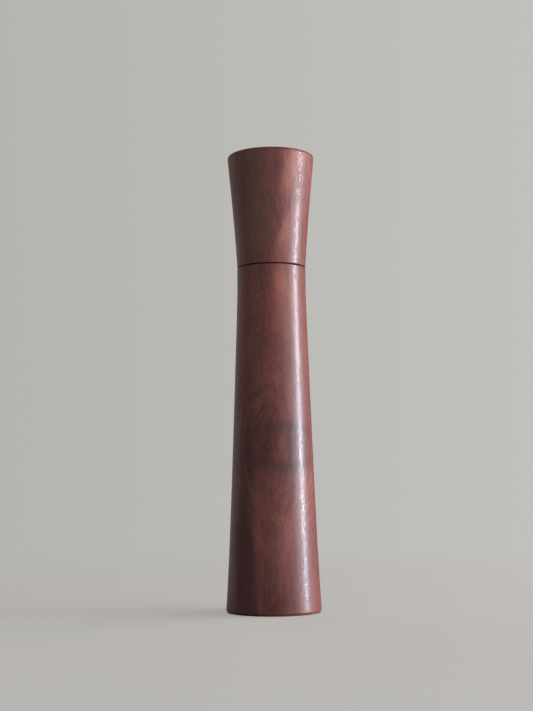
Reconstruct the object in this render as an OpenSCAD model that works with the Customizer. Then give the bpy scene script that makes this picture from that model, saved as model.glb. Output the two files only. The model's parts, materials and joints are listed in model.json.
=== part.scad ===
// Turned wooden pepper mill with a ceramic mechanism that is adjusted from below.
// Frame: +Z up along the turning axis, origin at the centre of the foot, millimetres.
// The crown turns the drive shaft, and the shaft turns a hub that hangs in a bridge above
// the burrs. The cone burr rides on the hub's hexagon, a spring presses it down on the
// adjusting knob, and the knob runs on the hub's threaded stem and so sets the grind.

/* [Turned outline] */
// Height of the wooden body from the foot to the seam
body_h = 228; // [185:1:320]
// Height of the wooden crown above the seam
crown_h = 76.3; // [60:0.1:115]
// Open line between the body and the crown
seam_gap = 0.7; // [0.4:0.1:1.2]
// Diameter at the foot
foot_d = 63; // [56:0.2:90]
// Diameter at the neck, where the body and the crown meet
neck_d = 46; // [38:0.5:58]
// Diameter of the crown's top
crown_top_d = 58.8; // [48:0.2:84]
// Radius that the bell at the foot adds to the even flare
foot_bell = 1; // [0:0.1:3]
// Straight stretch of the body under the seam
neck_straight = 16; // [4:1:40]

/* [Eased edges] */
// Width of the chamfer round the foot
foot_chamfer_w = 0.9; // [0.3:0.1:2]
// Height of the chamfer round the foot
foot_chamfer_h = 1.7; // [0.5:0.1:4]
// Rounding of the crown's top edge
rim_round = 1.3; // [0.5:0.1:3]
// Chamfer on both edges of the seam
seam_ease = 0.5; // [0.2:0.1:1]

/* [Chamber and tenon] */
// Bore of the peppercorn chamber
chamber_d = 30; // [27:0.5:36]
// Length of the crown's tenon
tenon_len = 12; // [8:0.5:18]
// Clearance between the tenon and the chamber, on the radius
tenon_clear = 0.25; // [0.1:0.05:0.5]

/* [Drive shaft] */
// Diameter of the fluted shaft
shaft_d = 6.6; // [5.4:0.1:8]
// Number of flutes along the shaft
flute_count = 6; // [4:1:8]
// Radius of each flute
flute_r = 0.9; // [0.5:0.1:1.1]
// Clearance round the shaft in its sockets
shaft_clear = 0.08; // [0.05:0.01:0.2]

/* [Crown insert] */
// Diameter over the insert's barbs
insert_d = 22; // [18:0.5:24]
// Length of the insert in the crown
insert_len = 27; // [20:0.5:34]
// Solid end of the insert above the shaft
insert_roof = 5; // [2:0.5:8]
// Thickness of the insert's flange under the tenon
insert_flange_t = 1.2; // [0.8:0.1:2]
// Number of barbs round the insert
barb_count = 6; // [3:1:8]

/* [Housing] */
// Wall of the housing's barrel beside the ring burr
barrel_wall = 3.4; // [2.6:0.1:5]
// Width of the flange outside the barrel
flange_w = 6; // [5.2:0.1:8]
// Thickness of the flange
flange_t = 3; // [2.5:0.1:4]
// Clearance of the housing in the wood
wood_clear = 0.2; // [0.1:0.05:0.4]
// Clearance of parts that are pressed or snapped in
snap_clear = 0.03; // [0.02:0.01:0.08]

/* [Bridge] */
// Height of the bridge's ring
bridge_h = 6.5; // [5:0.5:9]
// Number of arms
arm_count = 3; // [3:1:4]
// Width of an arm
arm_w = 3.6; // [2.4:0.1:5]
// Height of an arm
arm_h = 4; // [3:0.5:5]

/* [Burrs] */
// Diameter of the ring burr
ring_d = 30.8; // [29:0.1:37]
// Height of the ring burr
ring_h = 14; // [11:0.5:17]
// Wall of the ring burr level with the cone burr's foot
ring_wall = 1.4; // [1.2:0.1:2.4]
// Height of the cone burr
cone_h = 15.5; // [13:0.5:19]
// Wall of the cone burr at its top
cone_top_wall = 2.1; // [1.8:0.1:3]
// Gap between the burrs' fine teeth at rest, on the radius
grind_gap = 0.4; // [0.35:0.05:0.7]
// Number of fine teeth on each burr
fine_teeth = 24; // [16:1:30]
// Number of coarse flutes on each burr
coarse_teeth = 6; // [4:1:8]

/* [Hub and adjuster] */
// Wall of the hub round the shaft
hub_wall = 1.3; // [1.1:0.1:2]
// Diameter of the threaded stem
stem_d = 6; // [5:0.5:6.5]
// Diameter of the adjusting knob
knob_d = 21.2; // [17:0.2:25]
// Overall height of the adjusting knob
knob_h = 8.4; // [7.6:0.1:10]
// Height of the knob above the table
knob_rise = 3; // [2:0.1:6]
// How far the knob can raise the cone burr, to its finest setting
fine_travel = 1.4; // [0.6:0.1:1.6]
// How far the knob can lower it, to its coarsest setting
coarse_travel = 0.9; // [0.4:0.1:1.2]
// Number of flutes round the knob
knob_flutes = 12; // [8:1:16]
// Running clearance of turning parts, on the radius
run_clear = 0.06; // [0.04:0.01:0.1]

/* [Spring and screws] */
// Wire of the burr spring
spring_wire = 0.9; // [0.6:0.1:1]
// Working turns of the burr spring
spring_turns = 4; // [3:1:5]
// Length of the burr spring at rest
spring_len = 7.5; // [6:0.1:10]
// Number of screws through the flange
screw_count = 3; // [2:1:6]
// Diameter of those screws
screw_d = 1.9; // [1.5:0.1:2.3]
// Length of those screws
screw_len = 13; // [9:0.5:18]

/* [Hidden] */

$fn = 96;
small_fn = 32;                       // for flutes and wires
eps = 0.01;                          // overlap of joined shapes
past = 1;                            // reach of a cutting tool beyond a face
face_gap = 0.05;                     // film between faces that meet end to end

wood = [0.30, 0.12, 0.10];
black_plastic = [0.07, 0.07, 0.08];
grey_plastic = [0.24, 0.24, 0.25];
ceramic = [0.93, 0.92, 0.88];
aluminium = [0.78, 0.79, 0.80];
steel = [0.66, 0.67, 0.69];
bronze = [0.66, 0.48, 0.26];

// Outline of the wood
outline_steps = 36;                  // stretches that follow the body's curve
crown_steps = 18;                    // stretches that follow the crown's curve
rim_steps = 6;                       // stretches round the crown's top edge
flare_power = 1.07;                  // above 1, the even flare is slightly hollow
bell_power = 7;                      // keeps the bell near the foot
crown_power = 1.21;
neck_r = neck_d / 2;
foot_r = foot_d / 2;
crown_z = body_h + seam_gap;
tenon_z = crown_z - tenon_len;
tenon_r = chamber_d / 2 - tenon_clear;
top_z = crown_z + crown_h;
waist_z = body_h - neck_straight;

// From the knob up: click washer, cone burr, ring burr and the housing's flange
knob_z = knob_rise;
knob_top = knob_z + knob_h;
click_z = knob_top + face_gap;
click_t = 0.3;
click_pad = 0.2;                     // height of the click washer's pips
click_pips = 3;
cone_z = click_z + click_t + click_pad + face_gap;
cone_top_z = cone_z + cone_h;
ring_z = cone_z - 1;                 // the ring burr starts below the cone burr's foot
ring_top = ring_z + ring_h;
retainer_t = 1.1;
retainer_z = ring_z - retainer_t - face_gap;
flange_z = retainer_z - 0.85;        // underside of the flange
recess_depth = flange_z + flange_t;

// Spring, washers and circlip above the cone burr
spring_low = cone_top_z + face_gap;
spring_washer_z = spring_low + spring_len + face_gap;
spring_washer_t = 0.7;
circlip_z = spring_washer_z + spring_washer_t + face_gap;
circlip_t = 0.8;
circlip_play = 0.3;                  // end play of the hub under the bridge

// Bridge, bush and the hub's collar
boss_z = circlip_z + circlip_t + circlip_play;
boss_drop = 1;                       // the boss hangs below the arms
bridge_z = boss_z + boss_drop;
boss_top = bridge_z + arm_h;
housing_top = bridge_z + bridge_h;
bush_flange_t = 0.7;
thrust_t = 0.6;
thrust_z = boss_top + bush_flange_t + face_gap;
collar_z = thrust_z + thrust_t + face_gap;
collar_h = 2.5;
sleeve_h = 6;                        // hub above its collar
hub_top = collar_z + collar_h + sleeve_h;
socket_floor = spring_washer_z;

// Radii of the turning parts
shaft_r = shaft_d / 2;
hub_r = shaft_r + shaft_clear + hub_wall;
hex_corner_r = hub_r - 0.06;         // the hexagon passes through what fits the hub
hex_af = 2 * hex_corner_r * cos(30);
hex_z = cone_z + 2.5;                // the hexagon stops above the cone burr's foot
hex_clear = 0.08;
bush_r = hub_r + run_clear + 1;
boss_r = bush_r + 2.1;
collar_r = boss_r - 0.6;
washer_clear = 0.15;
washer_r = hub_r + 2.9;
groove_depth = 0.45;                 // of the circlip's groove
circlip_w = 2.1;
circlip_open = 70;                   // angle left open
stem_r = stem_d / 2;

// Ring burr, cone burr and housing
ring_r = ring_d / 2;
cone_foot_r = ring_r - ring_wall - grind_gap;
cone_step_h = 6;                     // fine teeth below, coarse flutes above
cone_step_z = cone_z + cone_step_h;
cone_step_r = cone_foot_r - 2;
cone_top_r = hex_corner_r + 0.25 + cone_top_wall;
waist_r = cone_step_r + 1.1;         // narrowest bore of the ring burr
waist_up = 0.5;                      // how far the waist is above the cone's step
ring_slope = (cone_foot_r + grind_gap - waist_r) / (cone_step_h + waist_up);
ring_mouth_r = ring_r - ring_wall + ring_slope * (cone_z - ring_z);
ring_top_wall = 1.7;
ring_lip = 1.2;                      // reach of the shoulder above the ring burr
notch_r = 1.2;                       // locating notches in the ring burr
notch_out = 0.5;                     // how far their centres are outside the ring burr
notch_count = 3;
retainer_in = 0.9;                   // reach of the retainer under the ring burr
retainer_out = 0.9;                  // reach of the retainer into its groove
retainer_open = 40;                  // angle left open
fine_cut = 0.75;                     // sides of the square bars that cut the teeth
fine_lead = 14;
coarse_cut = 2.2;
coarse_lead = 26;
core_r = hex_af / 2 + 3.3;
core_h = 9;
key_r = 1;                           // keys of the core in the cone burr
barrel_r = ring_r + barrel_wall;
flange_r = barrel_r + flange_w;
bore_r = barrel_r + wood_clear;
bore_top = housing_top + 1;          // the barrel stops short of the bore's shoulder
recess_r = flange_r + wood_clear;
bridge_r = barrel_r - 1.8;
bridge_wall = 1.9;
screw_at = (flange_r + barrel_r) / 2;
screw_r = screw_d / 2;
screw_head_r = screw_d + 0.15;
screw_tip = 1.5;
slot_w = 0.5;                        // cross recesses in the screws' heads
slot_depth = 0.6;

// Spring's wire
spring_r = hub_r + 1.1;              // middle of the wire
spring_rise = spring_len - spring_wire;
spring_sides = 8;
rings_per_turn = 22;
closed_turns = 0.5;                  // at each end
closed_rise = spring_wire * closed_turns;

// Adjusting knob, with its stop screw and cap
knob_r = knob_d / 2;
grip_h = 3;                          // raised grip under the knob's disc
grip_w = 4;
grip_inset = 1.2;                    // the grip stops short of the rim
knob_boss_r = 5.8;
knob_flute_r = 1.7;
knob_flute_out = 0.9;                // how far the flutes' centres are outside the rim
cap_r = 4.3;
cap_t = 0.7;
stop_screw_r = 1.2;
stop_head_r = 2.4;
stop_head_t = 1;
stop_screw_len = 7;
stop_washer_t = 0.5;
stop_washer_r = cap_r - 0.3;
stem_end = knob_z + cap_t + fine_travel + stop_head_t + stop_washer_t + 4 * face_gap;
stop_shoulder = stem_end + coarse_travel;

// Insert in the crown, and the shaft's ends
insert_z = tenon_z;
insert_r = insert_d / 2;
insert_flange_w = 1.5;               // width of the flange outside the bore
insert_end_room = 2;                 // bore past the insert's end
barb_h = 1.1;
barb_first = 1.5;                    // plain stretches before the first barb and after the last
barb_lead = 0.15;                    // share of a barb's length that is its steep face
barb_pitch = (insert_len - 2 * barb_first) / barb_count;
insert_core_r = insert_r - barb_h;
insert_floor = insert_z + insert_len - insert_roof;
shaft_z = socket_floor + face_gap;
shaft_top = insert_floor - face_gap;
shaft_lead = 0.8;                    // taper on the shaft's top end
clip_z = insert_z + 9;
clip_wire = 0.9;
clip_open = 70;                      // angle left open
clip_r = shaft_r + shaft_clear + 0.05 + clip_wire / 2;

// Radius of the wooden body at a height: an even flare and a bell that grows at the foot
function body_r(z) =
    let (u = max(0, (waist_z - z) / waist_z))
    neck_r + (foot_r - foot_bell - neck_r) * pow(u, flare_power) + foot_bell * pow(u, bell_power);

// Radius of the crown at a height
function crown_r(z) = neck_r + (crown_top_d / 2 - neck_r) * pow((z - crown_z) / crown_h, crown_power);

// Height of the spring's wire after a number of turns: closed ends, an even pitch between
function share(turn, from, length) = min(1, max(0, (turn - from) / length));
function spring_z(turn) =
    spring_low + spring_wire / 2
        + closed_rise * share(turn, 0, closed_turns)
        + (spring_rise - 2 * closed_rise) * share(turn, closed_turns, spring_turns)
        + closed_rise * share(turn, closed_turns + spring_turns, closed_turns);

// A plain cylinder between two heights
module rod(r, z_low, z_high) {
    translate([0, 0, z_low])
        cylinder(r = r, h = z_high - z_low);
}

// A cone between two heights
module taper(r_low, r_high, z_low, z_high) {
    translate([0, 0, z_low])
        cylinder(r1 = r_low, r2 = r_high, h = z_high - z_low);
}

// A flat ring between two heights
module ring(r_out, r_in, z_low, z_high) {
    difference() {
        rod(r_out, z_low, z_high);
        rod(r_in, z_low - past, z_high + past);
    }
}

// An open ring of a rectangular section, its opening centred on +X
module split_ring(r_in, r_out, z_low, height, open) {
    translate([0, 0, z_low])
        rotate([0, 0, open / 2])
            rotate_extrude(angle = 360 - open)
                translate([r_in, 0])
                    square([r_out - r_in, height]);
}

// Copies its children evenly round the axis
module around(count, start = 0) {
    for (i = [0 : count - 1])
        rotate([0, 0, start + i * 360 / count])
            children();
}

// The shaft's fluted section, grown by a clearance
module fluted_section(grow) {
    difference() {
        circle(r = shaft_r + grow);
        for (i = [0 : flute_count - 1])
            rotate(i * 360 / flute_count)
                translate([shaft_r + flute_r / 3, 0])
                    circle(r = flute_r - grow, $fn = small_fn);
    }
}

// A bar whose edge cuts a V groove along a cone's side, turned by a lead angle
module tooth_cut(r_low, z_low, r_high, z_high, side, lead) {
    length = norm([r_high - r_low, z_high - z_low]) + 3 * past;
    translate([(r_low + r_high) / 2, 0, (z_low + z_high) / 2])
        rotate([0, atan2(r_high - r_low, z_high - z_low), 0])
            rotate([lead, 0, 0])
                rotate([0, 0, 45])
                    cube([side, side, length], center = true);
}

// The cross in a screw's head, cut from below
module cross_slot(r_head, z_head) {
    for (a = [0, 90])
        rotate([0, 0, a])
            translate([-r_head * 0.6, -slot_w / 2, z_head - past])
                cube([r_head * 1.2, slot_w, slot_depth + past]);
}

module body() {
    side = [for (i = [0 : outline_steps])
        let (z = foot_chamfer_h + (waist_z - foot_chamfer_h) * i / outline_steps)
        [body_r(z), z]];
    color(wood)
        difference() {
            rotate_extrude()
                polygon(concat(
                    [[0, 0], [body_r(foot_chamfer_h) - foot_chamfer_w, 0]],
                    side,
                    [[neck_r, body_h - seam_ease], [neck_r - seam_ease, body_h], [0, body_h]]
                ));
            rod(chamber_d / 2, bore_top - eps, body_h + past);
            rod(bore_r, recess_depth - eps, bore_top);
            rod(recess_r, -past, recess_depth);
            around(screw_count)
                translate([screw_at, 0, 0])
                    rod(screw_r + snap_clear, recess_depth - past, flange_z + screw_len + past);
        }
}

module crown() {
    side = [for (i = [0 : crown_steps])
        let (z = crown_z + seam_ease + (crown_h - rim_round - seam_ease) * i / crown_steps)
        [crown_r(z), z]];
    rim = [for (i = [1 : rim_steps])
        let (a = 90 * i / rim_steps)
        [crown_r(top_z - rim_round) - rim_round * (1 - cos(a)), top_z - rim_round * (1 - sin(a))]];
    color(wood)
        difference() {
            union() {
                rotate_extrude()
                    polygon(concat([[0, crown_z], [neck_r - seam_ease, crown_z]], side, rim, [[0, top_z]]));
                rod(tenon_r, tenon_z, crown_z + eps);
            }
            rod(insert_r, tenon_z - past, insert_z + insert_len + insert_end_room);
        }
}

module drive_insert() {
    barbs = [for (i = [0 : barb_count - 1])
        let (z = insert_z + barb_first + i * barb_pitch)
        each [
            [insert_core_r, z],
            [insert_r - snap_clear, z + barb_pitch * barb_lead],
            [insert_core_r, z + barb_pitch]
        ]];
    flange_low = insert_z - insert_flange_t;
    color(black_plastic)
        difference() {
            union() {
                rotate_extrude()
                    polygon(concat(
                        [[0, flange_low], [insert_core_r, flange_low]],
                        barbs,
                        [[insert_core_r, insert_z + insert_len], [0, insert_z + insert_len]]
                    ));
                rod(insert_r + insert_flange_w, flange_low, insert_z - face_gap);
            }
            translate([0, 0, flange_low - past])
                linear_extrude(height = insert_floor - flange_low + past)
                    fluted_section(shaft_clear);
            rod(clip_r + clip_wire * 0.7, clip_z - clip_wire * 0.6, clip_z + clip_wire * 0.6);
        }
}

module grip_spring() {
    color(steel)
        translate([0, 0, clip_z])
            rotate([0, 0, clip_open / 2])
                rotate_extrude(angle = 360 - clip_open)
                    translate([clip_r, 0])
                        circle(r = clip_wire / 2, $fn = small_fn);
}

module drive_shaft() {
    color(aluminium)
        intersection() {
            translate([0, 0, shaft_z])
                linear_extrude(height = shaft_top - shaft_z)
                    fluted_section(0);
            union() {
                rod(shaft_r + past, shaft_z - past, shaft_top - shaft_lead - past);
                taper(shaft_r + past, shaft_r - shaft_lead, shaft_top - shaft_lead - past - eps, shaft_top);
            }
        }
}

module housing() {
    shoulder_top = ring_top + 0.9;
    color(black_plastic)
        difference() {
            union() {
                rod(flange_r, flange_z, recess_depth);
                rod(barrel_r, recess_depth - eps, housing_top);
            }
            // From the foot up: mouth, retainer's groove, burr seat, feed funnel, bridge seat
            rod(ring_mouth_r + 1, flange_z - past, ring_z);
            rod(ring_r + retainer_out, retainer_z - face_gap, ring_z);
            difference() {
                rod(ring_r + snap_clear, ring_z - eps, ring_top);
                around(notch_count, 180 / notch_count)
                    translate([ring_r + notch_out, 0, 0])
                        rod(notch_r - snap_clear, ring_z - past, ring_top + past);
            }
            rod(ring_r - ring_lip, ring_z, ring_top + past);
            taper(ring_r - ring_lip, bridge_r - bridge_wall + snap_clear, shoulder_top, bridge_z + eps);
            rod(bridge_r + snap_clear, bridge_z, housing_top + past);
            around(screw_count)
                translate([screw_at, 0, 0]) {
                    rod(screw_r + snap_clear, flange_z - past, recess_depth + past);
                    taper(screw_head_r + snap_clear, screw_r + snap_clear,
                        flange_z - eps, flange_z + screw_head_r - screw_r);
                }
        }
}

module housing_screws() {
    tip_z = flange_z + screw_len - screw_tip;
    color(steel)
        around(screw_count)
            translate([screw_at, 0, 0])
                difference() {
                    union() {
                        rod(screw_r, flange_z + slot_depth / 2, tip_z);
                        taper(screw_r, screw_r / 5, tip_z - eps, tip_z + screw_tip);
                        taper(screw_head_r, screw_r, flange_z, flange_z + screw_head_r - screw_r);
                    }
                    cross_slot(screw_head_r, flange_z);
                }
}

module feed_bridge() {
    arm_reach = bridge_r - bridge_wall - boss_r + 2 * past;
    color(grey_plastic)
        difference() {
            union() {
                ring(bridge_r, bridge_r - bridge_wall, bridge_z + face_gap, housing_top);
                rod(boss_r, boss_z, boss_top);
                around(arm_count)
                    translate([boss_r - past, -arm_w / 2, bridge_z + face_gap])
                        cube([arm_reach, arm_w, arm_h - face_gap]);
            }
            rod(bush_r + snap_clear, boss_z - past, boss_top + past);
        }
}

module bridge_bush() {
    color(bronze)
        difference() {
            union() {
                rod(bush_r, boss_z, boss_top + eps);
                rod(boss_r - 0.3, boss_top, boss_top + bush_flange_t);
            }
            rod(hub_r + run_clear, boss_z - past, thrust_z);
        }
}

module thrust_washer() {
    color(steel)
        ring(collar_r + 0.2, hub_r + washer_clear, thrust_z, thrust_z + thrust_t);
}

module burr_hub() {
    color(grey_plastic)
        difference() {
            union() {
                rod(stem_r, stem_end, hex_z + eps);
                translate([0, 0, hex_z])
                    linear_extrude(height = spring_washer_z - hex_z + eps)
                        circle(r = hex_corner_r, $fn = 6);
                rod(hub_r, spring_washer_z, hub_top);
                rod(collar_r, collar_z, collar_z + collar_h);
            }
            translate([0, 0, socket_floor])
                linear_extrude(height = hub_top - socket_floor + past)
                    fluted_section(shaft_clear);
            ring(hub_r + past, hub_r - groove_depth, circlip_z - face_gap, circlip_z + circlip_t + face_gap);
            rod(stop_screw_r + snap_clear, stem_end - past, stem_end + stop_screw_len + slot_depth);
        }
}

module hub_circlip() {
    r_in = hub_r - groove_depth + snap_clear;
    color(steel)
        split_ring(r_in, r_in + circlip_w, circlip_z, circlip_t, circlip_open);
}

module spring_washer() {
    color(steel)
        ring(washer_r, hub_r + washer_clear, spring_washer_z, spring_washer_z + spring_washer_t);
}

module burr_spring() {
    count = (spring_turns + 2 * closed_turns) * rings_per_turn;
    points = [for (i = [0 : count])
        let (a = 360 * i / rings_per_turn, z = spring_z(i / rings_per_turn))
        for (j = [0 : spring_sides - 1])
            let (b = 360 * j / spring_sides, r = spring_r + spring_wire / 2 * cos(b))
            [r * cos(a), r * sin(a), z + spring_wire / 2 * sin(b)]];
    sides = [for (i = [0 : count - 1])
        for (j = [0 : spring_sides - 1])
            let (k = (j + 1) % spring_sides, a = i * spring_sides, b = a + spring_sides)
            [a + j, b + j, b + k, a + k]];
    ends = [
        [for (j = [0 : spring_sides - 1]) j],
        [for (j = [spring_sides - 1 : -1 : 0]) count * spring_sides + j]
    ];
    color(steel)
        polyhedron(points = points, faces = concat(sides, ends), convexity = 8);
}

module ring_burr() {
    foot_bore = ring_r - ring_wall;
    top_bore = ring_r - ring_top_wall;
    color(ceramic)
        difference() {
            rotate_extrude()
                polygon([
                    [ring_r, ring_z], [ring_r, ring_top], [top_bore, ring_top],
                    [waist_r, cone_step_z + waist_up], [ring_mouth_r, ring_z]
                ]);
            around(notch_count, 180 / notch_count)
                translate([ring_r + notch_out, 0, 0])
                    rod(notch_r, ring_z - past, ring_top + past);
            around(fine_teeth)
                tooth_cut(foot_bore, cone_z, waist_r, cone_step_z, fine_cut, -fine_lead);
            around(coarse_teeth)
                tooth_cut(waist_r, cone_step_z + 2, top_bore, ring_top, coarse_cut * 0.7, -coarse_lead);
        }
}

module burr_retainer() {
    color(steel)
        split_ring(ring_r - retainer_in, ring_r + retainer_out - snap_clear, retainer_z, retainer_t, retainer_open);
}

// The core that carries the cone burr; a clearance makes the pocket for it
module core_shape(clear, z_low) {
    rod(core_r + clear, z_low, cone_z + core_h + clear);
    around(notch_count)
        translate([core_r, 0, 0])
            rod(key_r + clear, z_low, cone_z + core_h + clear);
}

module cone_burr() {
    color(ceramic)
        difference() {
            rotate_extrude()
                polygon([
                    [0, cone_z], [cone_foot_r, cone_z], [cone_step_r, cone_step_z],
                    [cone_top_r, cone_top_z], [0, cone_top_z]
                ]);
            core_shape(snap_clear, cone_z - past);
            rod(cone_top_r - cone_top_wall, cone_z + core_h - past, cone_top_z + past);
            around(fine_teeth, 180 / fine_teeth)
                tooth_cut(cone_foot_r, cone_z, cone_step_r, cone_step_z, fine_cut, fine_lead);
            around(coarse_teeth)
                tooth_cut(cone_step_r, cone_step_z + 1.5, cone_top_r, cone_top_z, coarse_cut, coarse_lead);
        }
}

module cone_core() {
    color(grey_plastic)
        difference() {
            core_shape(0, cone_z);
            translate([0, 0, cone_z - past])
                linear_extrude(height = core_h + 2 * past)
                    circle(r = hex_corner_r + hex_clear / cos(30), $fn = 6);
        }
}

module click_washer() {
    r_out = core_r - 0.4;
    r_in = stem_r + 0.4;
    color(steel) {
        ring(r_out, r_in, click_z, click_z + click_t);
        around(click_pips)
            translate([(r_out + r_in) / 2, 0, 0])
                rod((r_out - r_in) / 4, click_z + click_t - eps, click_z + click_t + click_pad);
    }
}

module adjusting_knob() {
    disc_z = knob_z + grip_h;
    grip_len = 2 * (knob_r - grip_inset);
    color(black_plastic)
        difference() {
            union() {
                rod(knob_r, disc_z, knob_top);
                rod(knob_boss_r, knob_z, disc_z + eps);
                translate([-grip_len / 2, -grip_w / 2, knob_z])
                    cube([grip_len, grip_w, grip_h + eps]);
            }
            around(knob_flutes, 180 / knob_flutes)
                translate([knob_r + knob_flute_out, 0, 0])
                    rod(knob_flute_r, disc_z - past, knob_top + past);
            rod(stem_r + run_clear, stop_shoulder - past, knob_top + past);
            rod(cap_r + snap_clear, knob_z - past, stop_shoulder);
        }
}

module stop_washer() {
    color(steel)
        ring(stop_washer_r, stop_screw_r + 0.1, stem_end - face_gap - stop_washer_t, stem_end - face_gap);
}

module stop_screw() {
    head_z = stem_end - 2 * face_gap - stop_washer_t - stop_head_t;
    color(steel)
        difference() {
            union() {
                rod(stop_head_r, head_z, head_z + stop_head_t);
                rod(stop_screw_r, head_z, stem_end + stop_screw_len);
            }
            cross_slot(stop_head_r, head_z);
        }
}

module knob_cap() {
    color(grey_plastic)
        rod(cap_r, knob_z, knob_z + cap_t);
}

body();
crown();
drive_insert();
grip_spring();
drive_shaft();
housing();
housing_screws();
feed_bridge();
bridge_bush();
thrust_washer();
burr_hub();
hub_circlip();
spring_washer();
burr_spring();
ring_burr();
burr_retainer();
cone_burr();
cone_core();
click_washer();
adjusting_knob();
stop_washer();
stop_screw();
knob_cap();
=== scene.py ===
"""Looks of a turned wooden pepper mill with a ceramic mechanism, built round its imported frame.

Every length is in metres in the frame of the CAD model: +Z up along the turning axis, origin at
the centre of the foot, the viewer of the reference view on the -Y side.
"""

import json
import logging
import math
from dataclasses import dataclass, field
from enum import Enum

import bpy
import numpy as np
from mathutils import Matrix, Vector


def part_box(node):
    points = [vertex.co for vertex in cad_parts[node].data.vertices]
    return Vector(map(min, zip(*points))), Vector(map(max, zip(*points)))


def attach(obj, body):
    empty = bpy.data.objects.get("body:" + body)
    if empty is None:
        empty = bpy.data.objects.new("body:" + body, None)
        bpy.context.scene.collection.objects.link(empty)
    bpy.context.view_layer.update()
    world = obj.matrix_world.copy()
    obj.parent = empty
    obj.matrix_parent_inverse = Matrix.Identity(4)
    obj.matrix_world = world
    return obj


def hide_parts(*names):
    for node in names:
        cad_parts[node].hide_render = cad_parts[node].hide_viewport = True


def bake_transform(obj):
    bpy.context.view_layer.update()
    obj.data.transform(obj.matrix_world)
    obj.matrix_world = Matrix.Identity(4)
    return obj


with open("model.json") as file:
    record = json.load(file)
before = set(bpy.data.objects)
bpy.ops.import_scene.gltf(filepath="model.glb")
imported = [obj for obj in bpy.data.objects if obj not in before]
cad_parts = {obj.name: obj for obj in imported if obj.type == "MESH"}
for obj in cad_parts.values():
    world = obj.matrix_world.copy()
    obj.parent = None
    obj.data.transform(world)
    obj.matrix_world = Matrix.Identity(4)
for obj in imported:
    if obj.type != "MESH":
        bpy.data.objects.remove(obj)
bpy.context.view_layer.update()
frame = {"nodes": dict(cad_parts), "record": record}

Array = np.ndarray
Colour = tuple[float, float, float]
Span = tuple[float, float]

MM = 0.001
log = logging.getLogger("mill")


# Node graphs ------------------------------------------------------------------------------------


class Value:
    """A number that changes over a surface; arithmetic on it adds Math nodes."""

    def __init__(self, graph: "Graph", socket: bpy.types.NodeSocket) -> None:
        """Wraps an output socket of a graph."""
        self.graph = graph
        self.socket = socket

    def maths(self, operation: str, *others: "Value | float") -> "Value":
        """Adds one Math node with this value first.

        Args:
            operation: the Math node's operation.
            others: its second and third inputs.

        Returns:
            The node's result.
        """
        sockets = dict(enumerate((self, *others)))
        node = self.graph.add("ShaderNodeMath", {"operation": operation}, sockets)
        return Value(self.graph, node.outputs[0])

    def __add__(self, other: "Value | float") -> "Value":
        """Sum."""
        return self.maths("ADD", other)

    __radd__ = __add__

    def __mul__(self, other: "Value | float") -> "Value":
        """Product."""
        return self.maths("MULTIPLY", other)

    __rmul__ = __mul__

    def __sub__(self, other: "Value | float") -> "Value":
        """Difference."""
        return self.maths("SUBTRACT", other)

    def __rsub__(self, other: float) -> "Value":
        """A number less this value."""
        return self.maths("MULTIPLY", -1.0).maths("ADD", other)

    def __truediv__(self, other: "Value | float") -> "Value":
        """Quotient."""
        return self.maths("DIVIDE", other)

    def squared(self) -> "Value":
        """The value times itself."""
        return self.maths("MULTIPLY", self)

    def root(self) -> "Value":
        """Square root."""
        return self.maths("SQRT")

    def larger(self, other: "Value | float") -> "Value":
        """The larger of two values."""
        return self.maths("MAXIMUM", other)

    def bell(self) -> "Value":
        """exp(-v): a bell when v is a squared distance in widths."""
        sockets = {0: math.exp(-1.0), 1: self}
        node = self.graph.add("ShaderNodeMath", {"operation": "POWER"}, sockets)
        return Value(self.graph, node.outputs[0])

    def ease(self, low: float, high: float) -> "Value":
        """Smooth step.

        Args:
            low: where the result is 0.
            high: where it is 1; it may be below low.

        Returns:
            A value from 0 to 1.
        """
        node = self.graph.add("ShaderNodeMapRange", {"interpolation_type": "SMOOTHSTEP"}, {
            "Value": self, "From Min": low, "From Max": high, "To Min": 0.0, "To Max": 1.0})
        return Value(self.graph, node.outputs["Result"])


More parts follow.
